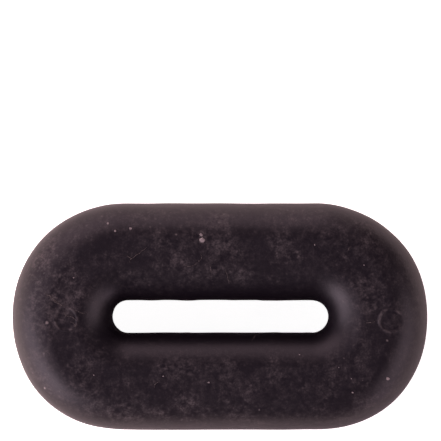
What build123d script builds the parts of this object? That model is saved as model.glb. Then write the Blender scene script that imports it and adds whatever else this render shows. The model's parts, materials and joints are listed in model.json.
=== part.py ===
from build123d import *

import os

# Vibration dampener for a strung racket: one solid rubber moulding with nothing in it.
#
# It is a thick obround ring. A long slot goes right through the middle, so its two sides
# can be pinched together while it is pushed in between two strings. Both faces roll over
# into the outside and into the slot on large radii, which leaves only a narrow flat land
# round each face. A groove runs round the outside at mid height, and its two straight
# stretches hold one string each.
#
# Frame: X runs along the ring and along the strings, Y across it from string to string,
# and Z through its thickness. The origin is its centre, in the plane of the strings.

# Driving dimensions, in millimetres.
overall_length = 33.0  # X, end to end
overall_width = 18.0  # Y, side to side
thickness = 8.0  # Z, face to face
slot_length = 17.2  # end to end at mid height, where the slot is smallest
slot_width = 2.6  # at mid height
outer_rounding = 3.0  # radius from each face down to the outside
slot_rounding = 3.0  # radius from each face down into the slot
groove_radius = 0.7  # round bottom, for a string 1.2 to 1.4 mm thick
groove_depth = 3.5  # from the outside to the bottom of the groove
lip_rounding = 0.2  # on both edges of the groove's mouth
least_land = 0.4  # flat width kept on each face, whatever the roundings
least_wall = 0.05  # upright height kept between two roundings

# What follows from them.
side_wall = (overall_width - slot_width) / 2
end_wall = (overall_length - slot_length) / 2
land_limit = (min(side_wall, end_wall) - least_land) / 2
lip_limit = thickness / 2 - groove_radius - lip_rounding - least_wall
outer_radius = min(outer_rounding, land_limit, lip_limit)
slot_radius = min(slot_rounding, land_limit, thickness / 2 - least_wall)
half_straight = (overall_length - overall_width) / 2
string_inset = groove_depth - groove_radius  # from the outside in to a string's centre
string_offset = overall_width / 2 - string_inset  # from the middle out to its centre


with BuildPart() as damper_ring:
    # The obround with its slot, from face to face.
    with BuildSketch(Plane.XY.offset(-thickness / 2)):
        SlotOverall(overall_length, overall_width)
        SlotOverall(slot_length, slot_width, mode=Mode.SUBTRACT)
    extrude(amount=thickness)

    # Both faces roll over into the outside.
    faces = damper_ring.faces().filter_by(Plane.XY)
    rims = [face.outer_wire() for face in faces]
    fillet([edge for rim in rims for edge in rim.edges()], outer_radius)

    # Both faces roll over into the slot.
    faces = damper_ring.faces().filter_by(Plane.XY)
    rims = [rim for face in faces for rim in face.inner_wires()]
    fillet([edge for rim in rims for edge in rim.edges()], slot_radius)

    # The string groove: a channel with a round bottom, carried right round the ring on
    # the line where the centre of a string lies, and open to the outside.
    with BuildLine() as string_line:
        Line((-half_straight, -string_offset), (half_straight, -string_offset))
        CenterArc((half_straight, 0), string_offset, -90, 180)
        Line((half_straight, string_offset), (-half_straight, string_offset))
        CenterArc((-half_straight, 0), string_offset, 90, 180)
    across_groove = Plane(
        origin=(-half_straight, -string_offset, 0),
        x_dir=(0, -1, 0),
        z_dir=(1, 0, 0),
    )
    with BuildSketch(across_groove):
        Circle(groove_radius)
        Rectangle(
            string_inset + lip_rounding,
            2 * groove_radius,
            align=(Align.MIN, Align.CENTER),
        )
    sweep(mode=Mode.SUBTRACT)

    # Its two lips are eased where they meet the outside.
    flanks = damper_ring.faces().filter_by(Plane.XY).sort_by(Axis.Z)[1:-1]
    lips = [flank.outer_wire() for flank in flanks]
    fillet([edge for lip in lips for edge in lip.edges()], lip_rounding)


os.makedirs("parts", exist_ok=True)
damper_ring.part.label = "damper_ring"
export_step(damper_ring.part, "parts/damper_ring.step")
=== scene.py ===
"""A string dampener for a racket: one black rubber moulding, lying on a pale table.

The rubber is a closed surface worked out on a grid. One parameter runs round the obround
and the other runs round the ring's section. Its overall sizes and its string groove come
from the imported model.
"""

from __future__ import annotations

import json
import logging
import math
from dataclasses import dataclass, field
from enum import Enum

import bpy
import numpy as np
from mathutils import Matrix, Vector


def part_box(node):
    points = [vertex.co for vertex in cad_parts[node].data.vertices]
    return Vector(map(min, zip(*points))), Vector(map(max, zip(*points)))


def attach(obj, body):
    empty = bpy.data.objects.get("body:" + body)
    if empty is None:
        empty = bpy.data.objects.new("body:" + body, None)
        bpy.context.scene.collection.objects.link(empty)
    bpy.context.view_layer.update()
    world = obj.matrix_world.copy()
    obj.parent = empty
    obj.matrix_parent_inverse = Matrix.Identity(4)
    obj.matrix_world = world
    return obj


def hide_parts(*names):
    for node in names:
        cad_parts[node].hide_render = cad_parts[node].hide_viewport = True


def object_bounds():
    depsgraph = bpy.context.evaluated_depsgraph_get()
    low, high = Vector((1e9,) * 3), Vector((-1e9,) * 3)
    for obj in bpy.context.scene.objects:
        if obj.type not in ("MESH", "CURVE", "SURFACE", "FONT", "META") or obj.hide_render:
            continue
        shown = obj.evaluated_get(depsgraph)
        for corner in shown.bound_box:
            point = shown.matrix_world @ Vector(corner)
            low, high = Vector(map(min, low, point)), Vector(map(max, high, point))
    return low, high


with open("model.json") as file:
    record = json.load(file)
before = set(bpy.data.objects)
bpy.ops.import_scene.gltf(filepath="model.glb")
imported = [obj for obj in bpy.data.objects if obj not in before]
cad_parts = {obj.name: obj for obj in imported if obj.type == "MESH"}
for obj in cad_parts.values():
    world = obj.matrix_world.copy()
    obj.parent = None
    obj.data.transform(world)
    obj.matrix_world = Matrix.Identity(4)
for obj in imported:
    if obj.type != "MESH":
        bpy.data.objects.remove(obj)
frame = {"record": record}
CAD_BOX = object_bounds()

LOG = logging.getLogger("dampener")
MM = 0.001
# A Mix node's colour sockets share their names with its number sockets, so they go by number.
MIX_SHARE, MIX_FIRST, MIX_SECOND = 0, 6, 7


def linear(colour: str) -> tuple[float, float, float, float]:
    """Turns an sRGB hex colour into the linear colour that a shader takes.

    Args:
        colour: the colour as "#rrggbb".

    Returns:
        Red, green, blue and an alpha of one, linear.
    """
    parts = np.array([int(colour[i : i + 2], 16) for i in (1, 3, 5)]) / 255
    low = parts / 12.92
    high = ((parts + 0.055) / 1.055) ** 2.4
    red, green, blue = np.where(parts <= 0.04045, low, high)
    return float(red), float(green), float(blue), 1.0


def add_node(
    tree: bpy.types.NodeTree,
    kind: str,
    inputs: dict[str | int, object] | None = None,
    **settings: object,
) -> bpy.types.Node:
    """Adds one node to a tree, with its settings and its links.

    Args:
        tree: the tree that takes the node.
        kind: Blender's name for the kind of node.
        inputs: socket name or number to a value, to an output socket to link, or to a
            node, whose first output in use is linked.
        settings: the node's own properties.

    Returns:
        The new node.
    """
    node = tree.nodes.new(kind)
    for name, value in settings.items():
        setattr(node, name, value)
    for name, value in (inputs or {}).items():
        if isinstance(value, bpy.types.Node):
            value = next(socket for socket in value.outputs if socket.enabled)
        if isinstance(value, bpy.types.NodeSocket):
            tree.links.new(value, node.inputs[name])
        else:
            node.inputs[name].default_value = value
    return node


def new_material(name: str) -> bpy.types.Material:
    """Makes a material whose node tree is still empty.

    Args:
        name: the material's name.

    Returns:
        The material.
    """
    material = bpy.data.materials.new(name)
    material.use_nodes = True
    material.node_tree.nodes.clear()
    return material


def put_in_scene(name: str, data: bpy.types.ID) -> bpy.types.Object:
    """Makes an object at the origin and links it to the scene.

    Args:
        name: the object's name.
        data: its mesh, light or camera.

    Returns:
        The object.
    """
    made = bpy.data.objects.new(name, data)
    bpy.context.scene.collection.objects.link(made)
    return made


def smooth_step(value: np.ndarray, low: float, high: float) -> np.ndarray:
    """Goes from 0 at low to 1 at high along a cubic that is level at both ends."""
    share = np.clip((value - low) / (high - low), 0, 1)
    return share * share * (3 - 2 * share)


def ripple(points: np.ndarray, shortest: float, longest: float, seed: int) -> np.ndarray:
    """Smooth random waviness in space.

    It is the sum of sine waves with random directions, phases and wavelengths, divided by
    the root of half their number, so its usual size is one.

    Args:
        points: an array of points, in metres, with the three coordinates last.
        shortest: the shortest wavelength, in metres.
        longest: the longest wavelength, in metres.
        seed: the seed of the random draws.

    Returns:
        One number for each point.
    """
    waves = 28
    random = np.random.default_rng(seed)
    direction = random.normal(size=(waves, 3))
    direction /= np.linalg.norm(direction, axis=1, keepdims=True)
    length = np.exp(random.uniform(math.log(shortest), math.log(longest), waves))
    phase = random.uniform(0, 2 * math.pi, waves)
    turns = points @ (direction * (2 * math.pi / length)[:, None]).T + phase
    return np.sin(turns).sum(-1) / math.sqrt(waves / 2)


@dataclass(frozen=True)
class Straight:
    """A straight stretch of an outline, from one point to another."""

    start: tuple[float, float]
    end: tuple[float, float]

    @property
    def length(self) -> float:
        """Its length."""
        return math.dist(self.start, self.end)

    def at(self, along: np.ndarray) -> tuple[np.ndarray, np.ndarray]:
        """Points and unit tangents: the start plus the distance times the direction.

        Args:
            along: distances from the start.

        Returns:
            The points and the tangents, one row each.
        """
        way = (np.array(self.end) - np.array(self.start)) / self.length
        return np.array(self.start) + along[:, None] * way, np.tile(way, (len(along), 1))


@dataclass(frozen=True)
class Round:
    """A round stretch of an outline, by its centre, its radius and two angles in degrees."""

    centre: tuple[float, float]
    radius: float
    begin: float
    finish: float

    @property
    def length(self) -> float:
        """Its length."""
        return math.radians(abs(self.finish - self.begin)) * self.radius

    def at(self, along: np.ndarray) -> tuple[np.ndarray, np.ndarray]:
        """Points and unit tangents: the centre plus the radius at an even turn.

        Args:
            along: distances from the start.

        Returns:
            The points and the tangents, one row each.
        """
        sense = math.copysign(1.0, self.finish - self.begin)
        angle = math.radians(self.begin) + sense * along / self.radius
        out = np.stack([np.cos(angle), np.sin(angle)], axis=1)
        across = np.stack([-out[:, 1], out[:, 0]], axis=1)
        return np.array(self.centre) + self.radius * out, sense * across


def walk(
    outline: list[Straight | Round], along: np.ndarray
) -> tuple[np.ndarray, np.ndarray]:
    """Points and tangents at distances measured along an outline.

    Args:
        outline: its stretches, each starting where the one before ends.
        along: distances from the first stretch's start.

    Returns:
        The points and the unit tangents, one row each.
    """
    points = np.zeros((len(along), 2))
    tangents = np.zeros((len(along), 2))
    begin = 0.0
    for stretch in outline:
        mine = (along >= begin) & (along < begin + stretch.length)
        points[mine], tangents[mine] = stretch.at(along[mine] - begin)
        begin += stretch.length
    return points, tangents


def spaced(
    length: float, coarse: float, fine: float, windows: list[tuple[float, float]]
) -> np.ndarray:
    """Distances round a closed line, closer together inside some windows.

    The gap is fine inside a window and grows to coarse over a millimetre on a smooth
    step. The running sum of one over the gap counts the stations, and reading it
    backwards at whole numbers gives their places.

    Args:
        length: once round the line.
        coarse: the gap outside the windows.
        fine: the gap inside them.
        windows: the middle and the half width of each.

    Returns:
        The distances, rising from zero.
    """
    samples = 40001
    growth = 1.0 * MM
    along = np.linspace(0, length, samples)
    gap = np.full_like(along, coarse)
    for middle, half in windows:
        away = np.abs((along - middle + length / 2) % length - length / 2)
        share = smooth_step(away, half, half + growth)
        gap = np.minimum(gap, fine + (coarse - fine) * share)
    rate = 1 / gap
    count = np.concatenate([[0], np.cumsum((rate[1:] + rate[:-1]) / 2 * np.diff(along))])
    stations = math.ceil(count[-1])
    return np.interp(np.arange(stations) * count[-1] / stations, count, along)


def closed_grid(name: str, points: np.ndarray) -> bpy.types.Object:
    """Makes a mesh object from a grid of points that closes on itself both ways.

    Each quad joins a point to the next station, then to the next one round the section,
    which turns its face outwards.

    Args:
        name: the object's name.
        points: stations by section points by three coordinates, in metres.

    Returns:
        The object.
    """
    stations, rows = points.shape[:2]
    i, j = np.meshgrid(np.arange(stations), np.arange(rows), indexing="ij")
    ahead, up = (i + 1) % stations, (j + 1) % rows
    quads = np.stack([i * rows + j, ahead * rows + j, ahead * rows + up, i * rows + up], -1)
    quads = quads.reshape(-1, 4)
    mesh = bpy.data.meshes.new(name)
    mesh.vertices.add(stations * rows)
    mesh.vertices.foreach_set("co", points.reshape(-1).astype(np.float32))
    mesh.loops.add(quads.size)
    mesh.loops.foreach_set("vertex_index", quads.reshape(-1).astype(np.int32))
    mesh.polygons.add(len(quads))
    mesh.polygons.foreach_set("loop_start", np.arange(0, quads.size, 4, dtype=np.int32))
    mesh.polygons.foreach_set("use_smooth", np.ones(len(quads), dtype=bool))
    mesh.update(calc_edges=True)
    mesh.validate()
    return put_in_scene(name, mesh)


def capped_tubes(name: str, tubes: list[np.ndarray]) -> bpy.types.Object:
    """Makes one mesh object from several tubes, each closed by a flat cap at either end.

    Args:
        name: the object's name.
        tubes: for each tube its stations by points round it by three coordinates.

    Returns:
        The object.
    """
    first, faces = 0, []
    for grid in tubes:
        stations, sides = grid.shape[:2]
        i, j = np.meshgrid(np.arange(stations - 1), np.arange(sides), indexing="ij")
        turn = (j + 1) % sides
        quads = np.stack(
            [i * sides + j, (i + 1) * sides + j, (i + 1) * sides + turn, i * sides + turn], -1
        )
        faces += (first + quads.reshape(-1, 4)).tolist()
        faces.append((first + np.arange(sides)).tolist())
        faces.append((first + (stations - 1) * sides + np.arange(sides)[::-1]).tolist())
        first += stations * sides
    mesh = bpy.data.meshes.new(name)
    points = np.concatenate([grid.reshape(-1, 3) for grid in tubes])
    mesh.from_pydata(points.tolist(), [], faces)
    mesh.polygons.foreach_set("use_smooth", np.ones(len(faces), dtype=bool))
    return put_in_scene(name, mesh)


def tube(path: np.ndarray, radius: np.ndarray, sides: int) -> np.ndarray:
    """A round tube: a circle of changing radius, square to the path and level across it.

    Args:
        path: the middle line, one point to a row.
        radius: its radius at each point.
        sides: how many points go round.

    Returns:
        Stations by sides by three.
    """
    way = np.gradient(path, axis=0)
    way /= np.linalg.norm(way, axis=1, keepdims=True)
    level = np.cross(way, (0.0, 0.0, 1.0))
    level /= np.linalg.norm(level, axis=1, keepdims=True)
    rise = np.cross(level, way)
    angle = np.linspace(0, 2 * math.pi, sides, endpoint=False)[None, :, None]
    round_it = np.cos(angle) * level[:, None] + np.sin(angle) * rise[:, None]
    return path[:, None] + radius[:, None, None] * round_it


def spline(knots: np.ndarray, count: int) -> np.ndarray:
    """A smooth line through some points: the Catmull-Rom cubic, evenly sampled.

    Args:
        knots: the points, one to a row.
        count: how many points to return.

    Returns:
        Points along the line, one to a row.
    """
    ends = np.concatenate([[2 * knots[0] - knots[1]], knots, [2 * knots[-1] - knots[-2]]])
    place = np.linspace(0, len(knots) - 1, count)
    span = np.minimum(place.astype(int), len(knots) - 2)
    t = (place - span)[:, None]
    a, b, c, d = (ends[span + k] for k in range(4))
    return 0.5 * (
        2 * b + (c - a) * t + (2 * a - 5 * b + 4 * c - d) * t**2 + (3 * b - a - 3 * c + d) * t**3
    )


@dataclass(frozen=True)
class PinMark:
    """The print that a moulding pin leaves in a face: a low uneven rim round a dish.

    The rim's strength is its usual one, plus a wave that makes one side stronger, plus
    three shorter waves that break it up.
    """

    centre: tuple[float, float]
    radius: float = 0.9 * MM
    rim_height: float = 0.05 * MM
    rim_width: float = 0.08 * MM
    dish: float = 0.03 * MM
    turn: float = 0.0
    usual: float = 0.62
    one_sided: float = 0.28
    broken: float = 0.22

    def height(self, x: np.ndarray, y: np.ndarray) -> np.ndarray:
        """How far the face stands up here.

        The rim stands up by its share, and the dish is a smooth step down inside it.

        Args:
            x: places along the ring.
            y: places across it.

        Returns:
            Heights in metres.
        """
        away = np.hypot(x - self.centre[0], y - self.centre[1])
        inside = 1 - smooth_step(away, self.radius - 2 * self.rim_width, self.radius)
        return self.rim_height * self.rim(x, y) - self.dish * inside

    def rim(self, x: np.ndarray, y: np.ndarray) -> np.ndarray:
        """How much of the rim is here: a bell across it, uneven round the circle.

        Args:
            x: places along the ring.
            y: places across it.

        Returns:
            Shares from 0 to 1.
        """
        away = np.hypot(x - self.centre[0], y - self.centre[1])
        angle = np.arctan2(y - self.centre[1], x - self.centre[0]) + self.turn
        waves = self.one_sided * np.cos(angle) + self.broken * np.sin(3 * angle + 1.0)
        bell = np.exp(-(((away - self.radius) / self.rim_width) ** 2))
        return bell * np.clip(self.usual + waves, 0, 1)


@dataclass(frozen=True)
class MouldedRubber:
    """Black moulded rubber, filled with carbon black.

    To the eye it is a deep, slightly purple black with a soft wide highlight. A thin
    brown-grey bloom lies on the level faces in clouds, made of many faint specks, with
    a few pale motes of dust. Seen along the surface, the finest dust is a pale haze. The
    specks are drawn about twice as coarse as real ones, so that they show at all.
    """

    name: str = "moulded_carbon_black_rubber"
    black: str = "#0f0911"
    bloom: str = "#4c4746"
    dust: str = "#948c87"
    roughness: float = 0.43
    bloom_roughness: float = 0.63
    ior: float = 1.5
    haze: float = 0.042
    haze_roughness: float = 0.25
    haze_colour: str = "#ffeeee"
    # The patterns' sizes, those of the cells that hold a mote or a speck each, and the
    # relief's height.
    cloud_mm: float = 2.4
    fleck_mm: float = 0.42
    grain_mm: float = 0.15
    ragged_mm: float = 0.14
    mote_mm: float = 0.16
    mote_cell_mm: float = 1.7
    speck_mm: float = 0.15
    speck_cell_mm: float = 0.42
    relief_mm: float = 0.012
    # How broken each noise is, and its values between which it goes from none to full.
    cloud_detail: float = 5.0
    cloud_breakup: float = 0.76
    cloud_span: tuple[float, float] = (0.36, 0.72)
    fine_detail: float = 2.0
    fine_breakup: float = 0.6
    fine_span: tuple[float, float] = (0.34, 0.68)
    # The bloom's share outside the clouds and what they add, and its least and most in
    # the flecks and the grain.
    cloud_contrast: float = 1.45
    bloom_elsewhere: float = 0.045
    bloom_in_cloud: float = 0.65
    fleck_gain: tuple[float, float] = (0.0, 2.1)
    grain_gain: tuple[float, float] = (0.55, 1.4)
    # The share of cells that hold nothing, the soft edge as a share of a speck's radius,
    # and how well specks and the pin marks' rims are covered.
    mote_gaps: float = 0.25
    speck_gaps: float = 0.1
    soft_edge: float = 0.7
    speck_cover: tuple[float, float] = (0.05, 0.2)
    speck_cloud: float = 0.6
    rim_cover: float = 0.3
    # How high dust stands next to the grain, and how strongly both tilt the surface.
    dust_height: float = 1.5
    relief_strength: float = 0.5

    def make(self) -> bpy.types.Material:
        """Builds the material.

        Returns:
            The finished material.
        """
        material = new_material(self.name)
        tree = material.node_tree
        metres = add_node(tree, "ShaderNodeTexCoord").outputs["Object"]
        place = add_node(
            tree, "ShaderNodeVectorMath", {0: metres, "Scale": 1 / MM}, operation="SCALE"
        )
        # The ring's dust layer, thinned by the slot as painted shade and raised on the outer
        # rounding, partly as painted light.
        dust_and_painted_light = add_node(tree, "ShaderNodeAttribute", attribute_name="dust_and_painted_light").outputs["Fac"]
        grain, flecks = (
            add_node(
                tree,
                "ShaderNodeTexNoise",
                {
                    "Vector": place,
                    "Scale": 1 / size,
                    "Detail": self.fine_detail,
                    "Roughness": self.fine_breakup,
                },
            )
            for size in (self.grain_mm, self.fleck_mm)
        )
        cloud = self._clouds(tree, place)
        bloom = self._bloom(tree, cloud, flecks, grain, dust_and_painted_light)
        dust = self._dust(tree, place, cloud, dust_and_painted_light)
        body = add_node(
            tree,
            "ShaderNodeMix",
            {MIX_SHARE: bloom, MIX_FIRST: linear(self.black), MIX_SECOND: linear(self.bloom)},
            data_type="RGBA",
        )
        colour = add_node(
            tree,
            "ShaderNodeMix",
            {MIX_SHARE: dust, MIX_FIRST: body, MIX_SECOND: linear(self.dust)},
            data_type="RGBA",
        )
        dulled = add_node(
            tree,
            "ShaderNodeMapRange",
            {"Value": bloom, "To Min": self.roughness, "To Max": self.bloom_roughness},
        )
        height = add_node(
            tree,
            "ShaderNodeMath",
            {0: dust, 1: self.dust_height, 2: grain},
            operation="MULTIPLY_ADD",
        )
        tilt = {"Strength": self.relief_strength, "Distance": self.relief_mm * MM}
        relief = add_node(tree, "ShaderNodeBump", {**tilt, "Height": height})
        shader = add_node(
            tree,
            "ShaderNodeBsdfPrincipled",
            {
                "Base Color": colour,
                "Roughness": dulled,
                "IOR": self.ior,
                "Sheen Weight": self.haze,
                "Sheen Roughness": self.haze_roughness,
                "Sheen Tint": linear(self.haze_colour),
                "Normal": relief,
            },
        )
        add_node(tree, "ShaderNodeOutputMaterial", {"Surface": shader})
        return material

    def _clouds(self, tree: bpy.types.NodeTree, place: bpy.types.Node) -> bpy.types.Node:
        """Where bloom gathers: clouds that are broken up at every scale down to the grain.

        Args:
            tree: the material's tree.
            place: the place on the object, in millimetres.

        Returns:
            The node that gives the cloud's strength, from 0 to 1.
        """
        broken = add_node(
            tree,
            "ShaderNodeTexNoise",
            {
                "Vector": place,
                "Scale": 1 / self.cloud_mm,
                "Detail": self.cloud_detail,
                "Roughness": self.cloud_breakup,
            },
        )
        low, high = self.cloud_span
        thick = add_node(
            tree, "ShaderNodeMapRange", {"Value": broken, "From Min": low, "From Max": high}
        )
        return add_node(
            tree, "ShaderNodeMath", {0: thick, 1: self.cloud_contrast}, operation="POWER"
        )

    def _bloom(
        self,
        tree: bpy.types.NodeTree,
        cloud: bpy.types.Node,
        flecks: bpy.types.Node,
        grain: bpy.types.Node,
        dust_and_painted_light: bpy.types.NodeSocket,
    ) -> bpy.types.Node:
        """The share of bloom: the clouds times flecks and grain, times the dust layer.

        Args:
            tree: the material's tree.
            cloud: the clouds' strength.
            flecks: the noise of the flecks.
            grain: the noise of the grain.
            dust_and_painted_light: how much dust lies here, from 0 to 1; it is thinned by the slot,
            which paints shade there, and raised on the outer rounding, partly as painted light.

        Returns:
            The node that gives the share of bloom.
        """
        share = add_node(
            tree,
            "ShaderNodeMath",
            {0: cloud, 1: self.bloom_in_cloud, 2: self.bloom_elsewhere},
            operation="MULTIPLY_ADD",
        )
        low, high = self.fine_span
        for noise, (least, most) in ((flecks, self.fleck_gain), (grain, self.grain_gain)):
            fine = add_node(
                tree,
                "ShaderNodeMapRange",
                {"Value": noise, "From Min": low, "From Max": high, "To Min": least, "To Max": most},
            )
            share = add_node(tree, "ShaderNodeMath", {0: share, 1: fine}, operation="MULTIPLY")
        return add_node(tree, "ShaderNodeMath", {0: share, 1: dust_and_painted_light}, operation="MULTIPLY")

    def _speckle(
        self,
        tree: bpy.types.NodeTree,
        place: bpy.types.Node,
        cell: float,
        radius: float,
        gaps: float,
    ) -> bpy.types.Node:
        """Scattered specks: balls round the cell points of a Voronoi pattern.

        Each ball's own size comes from its cell's random colour, and the rarest cells
        hold the largest balls.

        Args:
            tree: the material's tree.
            place: the place on the object, in millimetres.
            cell: the cell's size in millimetres.
            radius: the largest speck's radius in millimetres.
            gaps: the share of cells with no speck, from 0 to 1.

        Returns:
            The node that gives 1 on a speck and 0 off it.
        """
        cells = add_node(
            tree, "ShaderNodeTexVoronoi", {"Vector": place, "Scale": 1 / cell}, feature="F1"
        )
        pick = add_node(tree, "ShaderNodeSeparateColor", {0: cells.outputs["Color"]})
        size = add_node(
            tree, "ShaderNodeMapRange", {"Value": pick, "From Min": gaps, "To Max": radius / cell}
        )
        depth = add_node(
            tree, "ShaderNodeMath", {0: size, 1: cells.outputs["Distance"]}, operation="SUBTRACT"
        )
        return add_node(
            tree, "ShaderNodeMapRange", {"Value": depth, "From Max": self.soft_edge * radius / cell}
        )

    def _dust(
        self,
        tree: bpy.types.NodeTree,
        place: bpy.types.Node,
        cloud: bpy.types.Node,
        dust_and_painted_light: bpy.types.NodeSocket,
    ) -> bpy.types.Node:
        """Dust: rare pale motes, many faint specks in the clouds, and what a rim holds.

        Noise shifts the place a little first, so no speck comes out round.

        Args:
            tree: the material's tree.
            place: the place on the object, in millimetres.
            cloud: the clouds' strength.
            dust_and_painted_light: how much dust lies here, from 0 to 1; it is thinned by the slot,
            which paints shade there, and raised on the outer rounding, partly as painted light.

        Returns:
            The node that gives the cover of dust, from 0 to 1.
        """
        shift = add_node(
            tree, "ShaderNodeTexNoise", {"Vector": place, "Scale": 1 / self.ragged_mm}
        ).outputs["Color"]
        ragged = add_node(
            tree,
            "ShaderNodeVectorMath",
            {0: shift, 1: (self.ragged_mm,) * 3, 2: place},
            operation="MULTIPLY_ADD",
        )
        motes = self._speckle(tree, ragged, self.mote_cell_mm, self.mote_mm, self.mote_gaps)
        specks = self._speckle(tree, ragged, self.speck_cell_mm, self.speck_mm, self.speck_gaps)
        least, most = self.speck_cover
        share = add_node(
            tree,
            "ShaderNodeMapRange",
            {"Value": cloud, "From Max": self.speck_cloud, "To Min": least, "To Max": most},
        )
        faint = add_node(tree, "ShaderNodeMath", {0: specks, 1: share}, operation="MULTIPLY")
        loose = add_node(tree, "ShaderNodeMath", {0: motes, 1: faint}, operation="MAXIMUM")
        lying = add_node(tree, "ShaderNodeMath", {0: loose, 1: dust_and_painted_light}, operation="MULTIPLY")
        rims = add_node(tree, "ShaderNodeAttribute", attribute_name="held").outputs["Fac"]
        held = add_node(tree, "ShaderNodeMath", {0: rims, 1: self.rim_cover}, operation="MULTIPLY")
        return add_node(tree, "ShaderNodeMath", {0: lying, 1: held}, operation="MAXIMUM")


@dataclass(frozen=True)
class PaleDust:
    """Cotton lint and dried flakes: matt, pale, slightly warm, and partly see-through.

    A real fibre is thinner than the eye can follow, so it shows as a faint light line. A
    flake is thicker, and so paler and hardly see-through.
    """

    name: str
    colour: str
    thinnest: float
    roughness: float = 0.9
    specular: float = 0.2
    streak_mm: float = 0.2
    streak_span: tuple[float, float] = (0.3, 0.6)

    def make(self) -> bpy.types.Material:
        """Builds the material.

        Returns:
            The finished material.
        """
        material = new_material(self.name)
        tree = material.node_tree
        place = add_node(tree, "ShaderNodeTexCoord").outputs["Object"]
        patch = add_node(
            tree, "ShaderNodeTexNoise", {"Vector": place, "Scale": 1 / (self.streak_mm * MM)}
        )
        low, high = self.streak_span
        thin = add_node(
            tree,
            "ShaderNodeMapRange",
            {"Value": patch, "From Min": low, "From Max": high, "To Min": self.thinnest},
        )
        shader = add_node(
            tree,
            "ShaderNodeBsdfPrincipled",
            {
                "Base Color": linear(self.colour),
                "Roughness": self.roughness,
                "Specular IOR Level": self.specular,
                "Alpha": thin,
            },
        )
        add_node(tree, "ShaderNodeOutputMaterial", {"Surface": shader})
        return material


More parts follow.
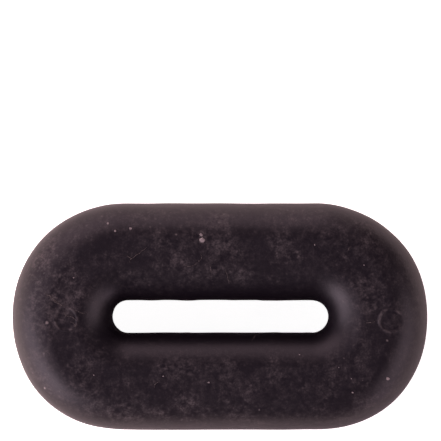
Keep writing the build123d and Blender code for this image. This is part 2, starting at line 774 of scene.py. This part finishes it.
@dataclass
class DamperRing:
    """The rubber ring: an obround with a slot through it and a string groove round it."""

    # The outline's stretches that the grid is finer on, by their places in its list.
    UPPER_LIP = 2
    LAND = 5
    SLOT_WALL = 7
    LOWER_LIP = 12

    slot_length: float = 17.2 * MM
    slot_width: float = 2.6 * MM
    rounding: float = 3.0 * MM
    lip: float = 0.2 * MM
    # The grid's gaps on plain rubber and on detail, and how far the fine one reaches past
    # the level land, the flash and a pin mark, which is by a share of its radius.
    coarse: float = 0.26 * MM
    fine: float = 0.055 * MM
    past_land: float = 0.25 * MM
    past_flash: float = 0.12 * MM
    past_pin: float = 1.25
    # How much fuller the ends are, and what is added in front and taken off at the back.
    fullness: float = 0.155 * MM
    front_fullness: float = 0.11 * MM
    # Waviness, and the flash: how far it stands out, how thick its line is, and how near
    # the slot a surface is to have it.
    unevenness: float = 0.012 * MM
    flash: float = 0.05 * MM
    flash_line: float = 0.05 * MM
    slot_skin: float = 0.2 * MM
    # How far up a surface points, from 0 to 1, where pin marks fade in, where their rims
    # hold dust, and where dust begins to settle and lies in full.
    pin_level: tuple[float, float] = (0.9, 0.99)
    rim_level: float = 0.95
    dust_level: tuple[float, float] = (0.15, 0.85)
    # The dust's share on a wall, its patches, its share by the slot, where thinning it paints
    # shade, what the outer rounding adds, partly dust and partly painted light, how far from
    # the slot those two go, and its drift to the left end.
    wall_dust: float = 0.1
    dust_patches: float = 0.25
    dust_left_in_slot_shade: float = 0.25
    slot_shade_reach: tuple[float, float] = (0.6 * MM, 2.6 * MM)
    rounding_dust_and_light: float = 0.25
    rounding_light_reach: tuple[float, float] = (4.8 * MM, 6.4 * MM)
    dust_drift: float = 0.3
    finish: MouldedRubber = field(default_factory=MouldedRubber)
    pins: tuple[PinMark, ...] = (
        PinMark((13.5 * MM, -0.3 * MM), turn=3.6),
        PinMark((-12.2 * MM, -0.2 * MM), turn=1.2, rim_height=0.02 * MM),
    )

    def __post_init__(self) -> None:
        """Reads the overall sizes and the groove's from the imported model."""
        low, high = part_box("damper_ring")
        self.length, self.width, self.thickness = high - low
        groove = next(
            mount
            for mount in frame["record"]["mounts"]
            if mount["name"] == "string_groove_back"
        )
        self.groove_radius = groove["dims"]["r_mm"] * MM
        self.string_inset = self.width / 2 - abs(groove["pos_m"][1])

    def outline(self) -> list[Straight | Round]:
        """The ring's section, from the bottom of the groove up over the top and back.

        The first coordinate is the depth in from the outside, and the second the height.

        Returns:
            The stretches in order.
        """
        wall = (self.width - self.slot_width) / 2
        top = self.thickness / 2
        inset, groove, lip, edge = self.string_inset, self.groove_radius, self.lip, self.rounding
        shoulder = top - edge
        return [
            Round((inset, 0), groove, 0, 90),
            Straight((inset, groove), (lip, groove)),
            Round((lip, groove + lip), lip, -90, -180),
            Straight((0, groove + lip), (0, shoulder)),
            Round((edge, shoulder), edge, 180, 90),
            Straight((edge, top), (wall - edge, top)),
            Round((wall - edge, shoulder), edge, 90, 0),
            Straight((wall, shoulder), (wall, -shoulder)),
            Round((wall - edge, -shoulder), edge, 0, -90),
            Straight((wall - edge, -top), (edge, -top)),
            Round((edge, -shoulder), edge, -90, -180),
            Straight((0, -shoulder), (0, -groove - lip)),
            Round((lip, -groove - lip), lip, 180, 90),
            Straight((lip, -groove), (inset, -groove)),
            Round((inset, 0), groove, -90, 0),
        ]

    def rows(self, outline: list[Straight | Round]) -> np.ndarray:
        """Places round the section, closer on the lips, the pin-marked land and the flash.

        Args:
            outline: the section's stretches.

        Returns:
            Distances along the outline.
        """
        starts = np.cumsum([0.0] + [stretch.length for stretch in outline])
        middles = [(starts[k] + starts[k + 1]) / 2 for k in range(len(outline))]
        windows = [
            (middles[self.LAND], outline[self.LAND].length / 2 + self.past_land),
            (middles[self.UPPER_LIP], self.lip),
            (middles[self.LOWER_LIP], self.lip),
            (middles[self.SLOT_WALL], self.past_flash),
        ]
        return spaced(starts[-1], self.coarse, self.fine, windows)

    def stations(self) -> tuple[np.ndarray, np.ndarray]:
        """Places round the obround, closer together at the pin marks.

        They are measured on the line down the middle of the flat land: two straight
        sides and two half circles, from the left end of the front side.

        Returns:
            The place along the spine, from -1 to 1, and the direction outwards in
            radians, for each station.
        """
        half = (self.length - self.width) / 2
        radius = (self.width + self.slot_width) / 4
        side, bend = 2 * half, math.pi * radius
        windows = []
        for pin in self.pins:
            sign = math.copysign(1.0, pin.centre[0])
            turned = math.atan2(pin.centre[1], abs(pin.centre[0]) - half)
            middle = side + bend / 2 if sign > 0 else 2 * side + 1.5 * bend
            share = pin.radius / (abs(pin.centre[0]) - half)
            windows.append((middle + sign * turned * radius, self.past_pin * share * radius))
        along = spaced(2 * (side + bend), self.coarse, self.fine, windows)
        front = np.clip(along / side, 0, 1)
        right = np.clip((along - side) / bend, 0, 1)
        back = np.clip((along - side - bend) / side, 0, 1)
        left = np.clip((along - 2 * side - bend) / bend, 0, 1)
        return -1 + 2 * front - 2 * back, math.pi * (right + left - 0.5)

    def surface(self) -> tuple[np.ndarray, np.ndarray]:
        """The plain ring: its section carried round the obround.

        A point goes out from the spine by half the width less its depth. The spine is a
        little shorter for the slot's side of the section than for the outside, and the
        land between them blends the two. The outside's ends are a little fuller than
        half circles.

        Returns:
            The points and the outward normals, stations by rows by three.
        """
        outline = self.outline()
        section, tangent = walk(outline, self.rows(outline))
        spine, angle = self.stations()
        deepest = self.string_inset + self.groove_radius
        wall = (self.width - self.slot_width) / 2
        blend = np.clip((section[:, 0] - deepest) / (wall - self.rounding - deepest), 0, 1)
        outer_half = (self.length - self.width) / 2
        slot_half = (self.slot_length - self.slot_width) / 2
        half = outer_half + (slot_half - outer_half) * blend
        cosine, sine = np.cos(angle)[:, None], np.sin(angle)[:, None]
        out = self.width / 2 - section[:, 0] + self.fuller(cosine, sine) * (1 - blend)
        flat = np.ones_like(cosine)
        along = spine[:, None] * half + cosine * out
        points = np.stack([along, sine * out, flat * section[:, 1]], axis=-1)
        normals = np.stack(
            [cosine * tangent[:, 1], sine * tangent[:, 1], flat * tangent[:, 0]], axis=-1
        )
        return points, normals

    def fuller(self, cosine: np.ndarray, sine: np.ndarray) -> np.ndarray:
        """How far an end stands out past a half circle, most in front.

        It goes by the square of the sine of twice the angle.

        Args:
            cosine: the cosine of the direction outwards.
            sine: the sine of it.

        Returns:
            Distances in metres.
        """
        return (self.fullness - self.front_fullness * sine) * (2 * sine * cosine) ** 2

    def relief(self, points: np.ndarray, normals: np.ndarray) -> np.ndarray:
        """How far moulding has moved the surface along its normal.

        It adds slight waviness, the pin marks on the upper face, and a hairline of flash
        half way down the slot, which comes and goes along it.

        Args:
            points: the plain surface.
            normals: its outward normals.

        Returns:
            Distances in metres, stations by rows.
        """
        x, y, z = np.moveaxis(points, -1, 0)
        moved = self.unevenness * ripple(points, shortest=3 * MM, longest=9 * MM, seed=11)
        upper = smooth_step(normals[..., 2], *self.pin_level) * (z > 0)
        for pin in self.pins:
            moved += upper * pin.height(x, y)
        wall = (self.slot_width / 2 + self.slot_skin) > self.slot_distance(x, y)
        random = ripple(points, shortest=1.5 * MM, longest=6 * MM, seed=5)
        patchy = smooth_step(random, low=-0.8, high=0.8)
        hairline = np.exp(-((z / self.flash_line) ** 2))
        return moved + self.flash * wall * patchy * hairline

    def slot_distance(self, x: np.ndarray, y: np.ndarray) -> np.ndarray:
        """The distance from the slot's middle line, straight out from it."""
        half = (self.slot_length - self.slot_width) / 2
        return np.hypot(np.maximum(np.abs(x) - half, 0), y)

    def face_height(self, x: np.ndarray, y: np.ndarray) -> np.ndarray:
        """The upper face's height over a place, on the level land or on a rounding.

        A rounding falls from the land by its radius less the leg of the right triangle
        whose other leg is the way past the land's edge.

        Args:
            x: places along the ring.
            y: places across it.

        Returns:
            Heights in metres.
        """
        over = np.maximum(np.abs(x) - (self.length - self.width) / 2, 0)
        angle = np.arctan2(y, over)
        outside = self.width / 2 + self.fuller(np.cos(angle), np.sin(angle))
        depth = outside - np.hypot(over, y)
        inner = self.slot_distance(x, y) - self.slot_width / 2
        past = np.clip(self.rounding - np.stack([depth, inner]), 0, self.rounding)
        fall = self.rounding - np.sqrt(self.rounding**2 - past**2)
        return self.thickness / 2 - fall.sum(axis=0)

    def held(self, points: np.ndarray, normals: np.ndarray) -> np.ndarray:
        """How much dust the pin marks' rims hold, in small random patches.

        Args:
            points: the surface.
            normals: its outward normals.

        Returns:
            Shares from 0 to 1, stations by rows.
        """
        x, y, z = np.moveaxis(points, -1, 0)
        rims = np.max([pin.rim(x, y) for pin in self.pins], axis=0)
        random = ripple(points, shortest=0.3 * MM, longest=0.9 * MM, seed=31)
        patchy = smooth_step(random, low=-1.2, high=0.9)
        return rims * patchy * (normals[..., 2] > self.rim_level) * (z > 0)

    def dust_and_painted_light(self, points: np.ndarray, normals: np.ndarray) -> np.ndarray:
        """How much dust lies here, with painted shade by the slot: most on level rubber, in soft
        patches.

        By the slot there is less, which paints shade there, and the outer rounding holds the
        most, partly dust and partly painted light. More has drifted to the left end than to
        the right, along a straight line.

        Args:
            points: the surface.
            normals: its outward normals.

        Returns:
            How much next to a usual place, stations by rows.
        """
        lying = smooth_step(normals[..., 2], *self.dust_level)
        level = self.wall_dust + (1 - self.wall_dust) * lying
        random = np.clip(ripple(points, shortest=4 * MM, longest=12 * MM, seed=23), -1, 1)
        patches = 1 - self.dust_patches * (1 - random)
        from_slot = self.slot_distance(points[..., 0], points[..., 1]) - self.slot_width / 2
        # Less dust by the slot paints shade there, and the outer rounding's extra is partly dust and
        # partly painted light.
        dust_shade_and_light = self.dust_left_in_slot_shade + (1 - self.dust_left_in_slot_shade) * smooth_step(from_slot, *self.slot_shade_reach)
        dust_shade_and_light += self.rounding_dust_and_light * smooth_step(from_slot, *self.rounding_light_reach)
        drift = 1 - self.dust_drift * points[..., 0] / (self.length / 2)
        return level * patches * dust_shade_and_light * drift

    def build(self) -> bpy.types.Object:
        """Builds the ring, dresses it and puts it in the place of the plain solid.

        Returns:
            The finished ring.
        """
        points, normals = self.surface()
        # The dust layer is thinned by the slot, which paints shade there, and raised on the outer
        # rounding, partly as painted light.
        layers = {"dust_and_painted_light": self.dust_and_painted_light(points, normals), "held": self.held(points, normals)}
        points = points + self.relief(points, normals)[..., None] * normals
        ring = closed_grid("rubber_ring", points)
        for name, values in layers.items():
            layer = ring.data.attributes.new(name, "FLOAT", "POINT")
            layer.data.foreach_set("value", values.reshape(-1).astype(np.float32))
        ring.data.materials.append(self.finish.make())
        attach(ring, "root")
        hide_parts("damper_ring")
        return ring


@dataclass(frozen=True)
class Lint:
    """Short fibres and crumbs that lie on the upper face.

    Each fibre's knots and each crumb's place are millimetres from the ring's middle.
    """

    # A fibre's radius, step and sides, its fewest points, how blunt its tips are, and how
    # far it wavers.
    fibre_radius: float = 0.018 * MM
    fibre_step: float = 0.08 * MM
    fibre_sides: int = 6
    fewest_points: int = 6
    blunt: float = 0.02
    waver: float = 0.014 * MM
    fibre_seed: int = 40
    # A crumb's grid, how near it comes to its poles in radians, and then its height,
    # bumps and lift as shares of its radius.
    crumb_rings: int = 12
    crumb_sides: int = 14
    pole_gap: float = 0.02
    crumb_height: float = 0.2
    crumb_bumps: float = 0.16
    crumb_lift: float = 0.08
    crumb_seed: int = 90
    fibre_finish: PaleDust = PaleDust("cotton_lint", "#716a65", 0.2)
    crumb_finish: PaleDust = PaleDust("dried_flakes", "#a29a96", 0.7)
    fibres: tuple[tuple[tuple[float, float], ...], ...] = (
        ((-1.5, 5.0), (-1.5, 4.6), (-1.9, 4.2), (-2.4, 4.0), (-2.9, 4.1)),
        ((-7.2, 4.2), (-7.0, 4.6), (-6.6, 4.9), (-6.2, 5.2), (-5.8, 5.5)),
        ((-7.4, 4.9), (-7.0, 4.6)),
        ((-14.0, 1.9), (-13.4, 1.6), (-12.8, 1.1), (-12.4, 0.8)),
        ((-13.9, 1.6), (-13.5, 1.7), (-13.2, 1.3), (-12.5, 0.9), (-12.1, 1.0)),
        ((-12.4, 0.5), (-12.2, 0.1), (-11.7, 0.0), (-11.3, -0.3)),
        ((-11.9, -0.4), (-11.6, -0.5), (-11.4, -0.8)),
        ((-11.4, 0.5), (-10.9, 0.3), (-10.5, 0.3)),
        ((-4.8, -5.1), (-5.1, -5.3), (-5.2, -5.6)),
        ((-0.8, 4.1), (-0.7, 3.5)),
        ((0.4, 3.7), (0.6, 3.2), (0.7, 2.6)),
        ((3.1, -1.3), (2.8, -1.5), (2.5, -1.9)),
        ((10.3, 5.6), (10.1, 5.2)),
        ((11.5, -0.5), (12.3, -0.4)),
    )
    crumbs: tuple[tuple[float, float, float], ...] = (
        (-1.42, 6.1, 0.2),
        (-1.5, 6.5, 0.11),
        (-8.9, 7.4, 0.08),
        (-8.3, 6.8, 0.09),
        (-7.1, 7.0, 0.09),
        (-11.6, 3.1, 0.045),
        (-10.0, -4.6, 0.045),
        (-0.9, -5.2, 0.065),
        (-4.5, -4.7, 0.05),
        (9.4, -4.0, 0.045),
        (10.5, -6.0, 0.06),
        (10.4, -4.9, 0.035),
        (13.3, -4.9, 0.12),
        (7.5, 5.7, 0.05),
        (11.4, 4.1, 0.04),
        (6.3, -3.0, 0.04),
    )

    def fibre(self, ring: DamperRing, knots: np.ndarray, seed: int) -> np.ndarray:
        """One fibre: a tapered tube along a wavering line pressed onto the face.

        Its radius goes by the square root of one less the square of the way from its
        middle, with a little added that keeps the tips from closing.

        Args:
            ring: the ring that it lies on.
            knots: points that the line passes, in metres.
            seed: the first of three seeds of its waver, two sideways and one upwards.

        Returns:
            Stations by sides by three.
        """
        length = np.linalg.norm(np.diff(knots, axis=0), axis=1).sum()
        line = spline(knots, max(self.fewest_points, math.ceil(length / self.fibre_step)))
        level = np.pad(line, ((0, 0), (0, 1)))
        waver = [
            ripple(level, shortest=0.25 * MM, longest=0.8 * MM, seed=seed + k) for k in range(3)
        ]
        line = line + self.waver * np.stack(waver[:2], axis=-1)
        along = np.linspace(-1, 1, len(line))
        radius = self.fibre_radius * np.sqrt(1 + self.blunt - along**2)
        lift = self.fibre_radius + 0.5 * self.waver * (1 + np.sin(waver[2]))
        height = ring.face_height(line[:, 0], line[:, 1]) + lift
        return tube(np.column_stack([line, height]), radius, self.fibre_sides)

    def crumb(self, ring: DamperRing, x: float, y: float, radius: float, seed: int) -> np.ndarray:
        """One crumb: a bumpy ball, flattened and pressed onto the face.

        Args:
            ring: the ring that it lies on.
            x: its place along the ring, in metres.
            y: its place across the ring, in metres.
            radius: its radius, in metres.
            seed: the seed of its bumps.

        Returns:
            Stations by sides by three.
        """
        angle = np.linspace(self.pole_gap, math.pi - self.pole_gap, self.crumb_rings)
        path = np.column_stack([-radius * np.cos(angle), np.zeros((self.crumb_rings, 2))])
        ball = tube(path, radius * np.sin(angle), self.crumb_sides)
        bumps = ripple(ball, shortest=0.9 * radius, longest=2.5 * radius, seed=seed)
        ball = ball * (1 + self.crumb_bumps * bumps)[..., None]
        place = ball[..., :2] + (x, y)
        ground = ring.face_height(place[..., 0], place[..., 1]) + self.crumb_lift * radius
        height = ground + self.crumb_height * ball[..., 2]
        return np.concatenate([place, height[..., None]], axis=-1)

    def build(self, ring: DamperRing) -> list[bpy.types.Object]:
        """Lays the fibres and the crumbs on the ring.

        Args:
            ring: the ring that they lie on.

        Returns:
            The fibres and the crumbs, one mesh each.
        """
        fibres = [
            self.fibre(ring, np.array(knots) * MM, self.fibre_seed + 3 * k)
            for k, knots in enumerate(self.fibres)
        ]
        crumbs = [
            self.crumb(ring, x * MM, y * MM, radius * MM, self.crumb_seed + k)
            for k, (x, y, radius) in enumerate(self.crumbs)
        ]
        made = [capped_tubes("lint_fibres", fibres), capped_tubes("lint_crumbs", crumbs)]
        for piece, finish in zip(made, (self.fibre_finish, self.crumb_finish)):
            piece.data.materials.append(finish.make())
            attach(piece, "root")
        return made


@dataclass(frozen=True)
class Table:
    """The pale table top that the dampener lies on. It isn't part of the object."""

    side: float = 6.0
    colour: str = "#f6efee"
    lift: float = 0.95

    def build(self, height: float) -> bpy.types.Object:
        """Makes one large level sheet.

        Args:
            height: the height of its top.

        Returns:
            The sheet.
        """
        half = self.side / 2
        corners = [(-half, -half), (half, -half), (half, half), (-half, half)]
        mesh = bpy.data.meshes.new("table_top")
        mesh.from_pydata([(x, y, height) for x, y in corners], [], [(0, 1, 2, 3)])
        mesh.materials.append(self._paper())
        sheet = put_in_scene("table_top", mesh)
        return sheet

    def _paper(self) -> bpy.types.Material:
        """Matte white paper, which the eye sees as bright even in the ring's shade.

        Its glow reaches the camera alone, so it casts no light on the rubber.

        Returns:
            The finished material.
        """
        material = new_material("matte_white_paper")
        tree = material.node_tree
        matte = add_node(tree, "ShaderNodeBsdfDiffuse", {"Color": linear(self.colour)})
        seen = add_node(tree, "ShaderNodeLightPath").outputs["Is Camera Ray"]
        strength = add_node(tree, "ShaderNodeMath", {0: seen, 1: self.lift}, operation="MULTIPLY")
        glow = add_node(tree, "ShaderNodeEmission", {"Strength": strength})
        both = add_node(tree, "ShaderNodeAddShader", {0: matte, 1: glow})
        add_node(tree, "ShaderNodeOutputMaterial", {"Surface": both})
        return material


class Side(Enum):
    """Where a lamp stands: its bearing from +X and its height over the table, in degrees."""

    LEFT = (205.0, 22.0)
    KEY = (219.0, 34.0)
    RIGHT = (342.0, 30.0)
    CORNER = (309.0, 12.0)
    BACK = (113.0, 24.0)
    HIGH = (180.0, 66.0)
    NEAR = (240.0, 22.0)
    FAR = (122.0, 22.0)
    CLOSE = (188.0, 12.0)


@dataclass(frozen=True)
class Lamp:
    """A soft box that points at the dampener."""

    name: str
    side: Side
    watts: float
    width: float
    height: float
    distance: float = 0.6
    colour: str = "#ffffff"

    def build(self, only: bpy.types.Collection | None = None) -> bpy.types.Object:
        """Hangs the lamp.

        Args:
            only: what it lights, or nothing where it lights everything.

        Returns:
            The lamp.
        """
        bearing, height = (math.radians(degrees) for degrees in self.side.value)
        light = bpy.data.lights.new(self.name, "AREA")
        light.shape = "RECTANGLE"
        light.size, light.size_y = self.width, self.height
        light.energy = self.watts
        light.color = linear(self.colour)[:3]
        lamp = put_in_scene(self.name, light)
        level = math.cos(height)
        out = np.array([math.cos(bearing) * level, math.sin(bearing) * level, math.sin(height)])
        lamp.location = out * self.distance
        lamp.rotation_euler = (math.pi / 2 - height, 0, bearing + math.pi / 2)
        lamp.light_linking.receiver_collection = only
        lamp.visible_camera = False
        return lamp


@dataclass(frozen=True)
class Studio:
    """The lamps, the room's even light and the camera straight overhead."""

    room_light: float = 0.02
    room_colour: str = "#dcc4ff"
    lens_mm: float = 800.0
    film_mm: float = 36.0
    view_width: float = 35.1 * MM
    view_centre: tuple[float, float] = (0.035 * MM, 7.63 * MM)
    lamps: tuple[Lamp, ...] = (
        Lamp("left_lamp", Side.LEFT, 3.3, 0.8, 0.48, colour="#ffe6f6"),
        Lamp("key_lamp", Side.KEY, 0.5, 0.2, 0.25, colour="#ffe6f6"),
        Lamp("right_lamp", Side.RIGHT, 1.3, 0.5, 0.45, colour="#ffe0ee"),
        Lamp("corner_lamp", Side.CORNER, 0.27, 0.14, 0.14, colour="#ffdef4"),
        Lamp("back_lamp", Side.BACK, 1.9, 0.75, 0.5, colour="#ffdcea"),
    )
    rubber_lamps: tuple[Lamp, ...] = (
        Lamp("high_lamp", Side.HIGH, 0.28, 0.2, 0.2, colour="#fbdcf4"),
    )
    table_lamps: tuple[Lamp, ...] = (
        Lamp("near_table_lamp", Side.NEAR, 9.0, 3.0, 0.8, distance=1.5, colour="#ffe9e2"),
        Lamp("far_table_lamp", Side.FAR, 47.0, 3.0, 0.8, distance=1.5, colour="#ffe9e2"),
        Lamp("close_table_lamp", Side.CLOSE, 0.01, 0.02, 0.02, distance=0.045, colour="#ffe9e2"),
    )

    def build(
        self, pieces: list[bpy.types.Object], table: bpy.types.Object
    ) -> bpy.types.Object:
        """Lights the dampener and the table, and sets the camera over them.

        Three low lamps light the table alone, and keep the paper white all round with no
        glare on the rubber. Little of their light gets down into the slot, so its walls
        stay dark. The high lamp lights the rubber alone, because it would shine straight
        down the slot.

        Args:
            pieces: the dampener's own pieces.
            table: the table top.

        Returns:
            The camera.
        """
        for lamp in self.lamps:
            lamp.build()
        for name, lamps, lit in (
            ("only_table", self.table_lamps, [table]),
            ("only_rubber", self.rubber_lamps, pieces),
        ):
            only = bpy.data.collections.new(name)
            for piece in lit:
                only.objects.link(piece)
            for lamp in lamps:
                lamp.build(only)
        world = bpy.data.worlds.new("studio_room")
        world.use_nodes = True
        room = world.node_tree.nodes["Background"]
        room.inputs["Color"].default_value = linear(self.room_colour)
        room.inputs["Strength"].default_value = self.room_light
        bpy.context.scene.world = world
        bpy.context.scene.view_settings.view_transform = "Standard"
        optics = bpy.data.cameras.new("camera")
        optics.lens = self.lens_mm
        optics.sensor_width = self.film_mm
        camera = put_in_scene("camera", optics)
        distance = self.view_width * self.lens_mm / self.film_mm
        camera.location = (*self.view_centre, distance)
        optics.clip_start, optics.clip_end = distance / 10, distance * 10
        bpy.context.scene.camera = camera
        return camera


def main() -> None:
    """Builds the dampener, its table and its studio."""
    logging.basicConfig(level=logging.INFO, format="%(message)s")
    ring = DamperRing()
    pieces = [ring.build(), *Lint().build(ring)]
    table = Table().build(CAD_BOX[0].z)
    camera = Studio().build(pieces, table)
    for piece in (*pieces, table):
        LOG.info("%s: %d faces", piece.name, len(piece.data.polygons))
    LOG.info("%s: %.0f mm up", camera.name, camera.location.z / MM)


if __name__ == "__main__":
    main()
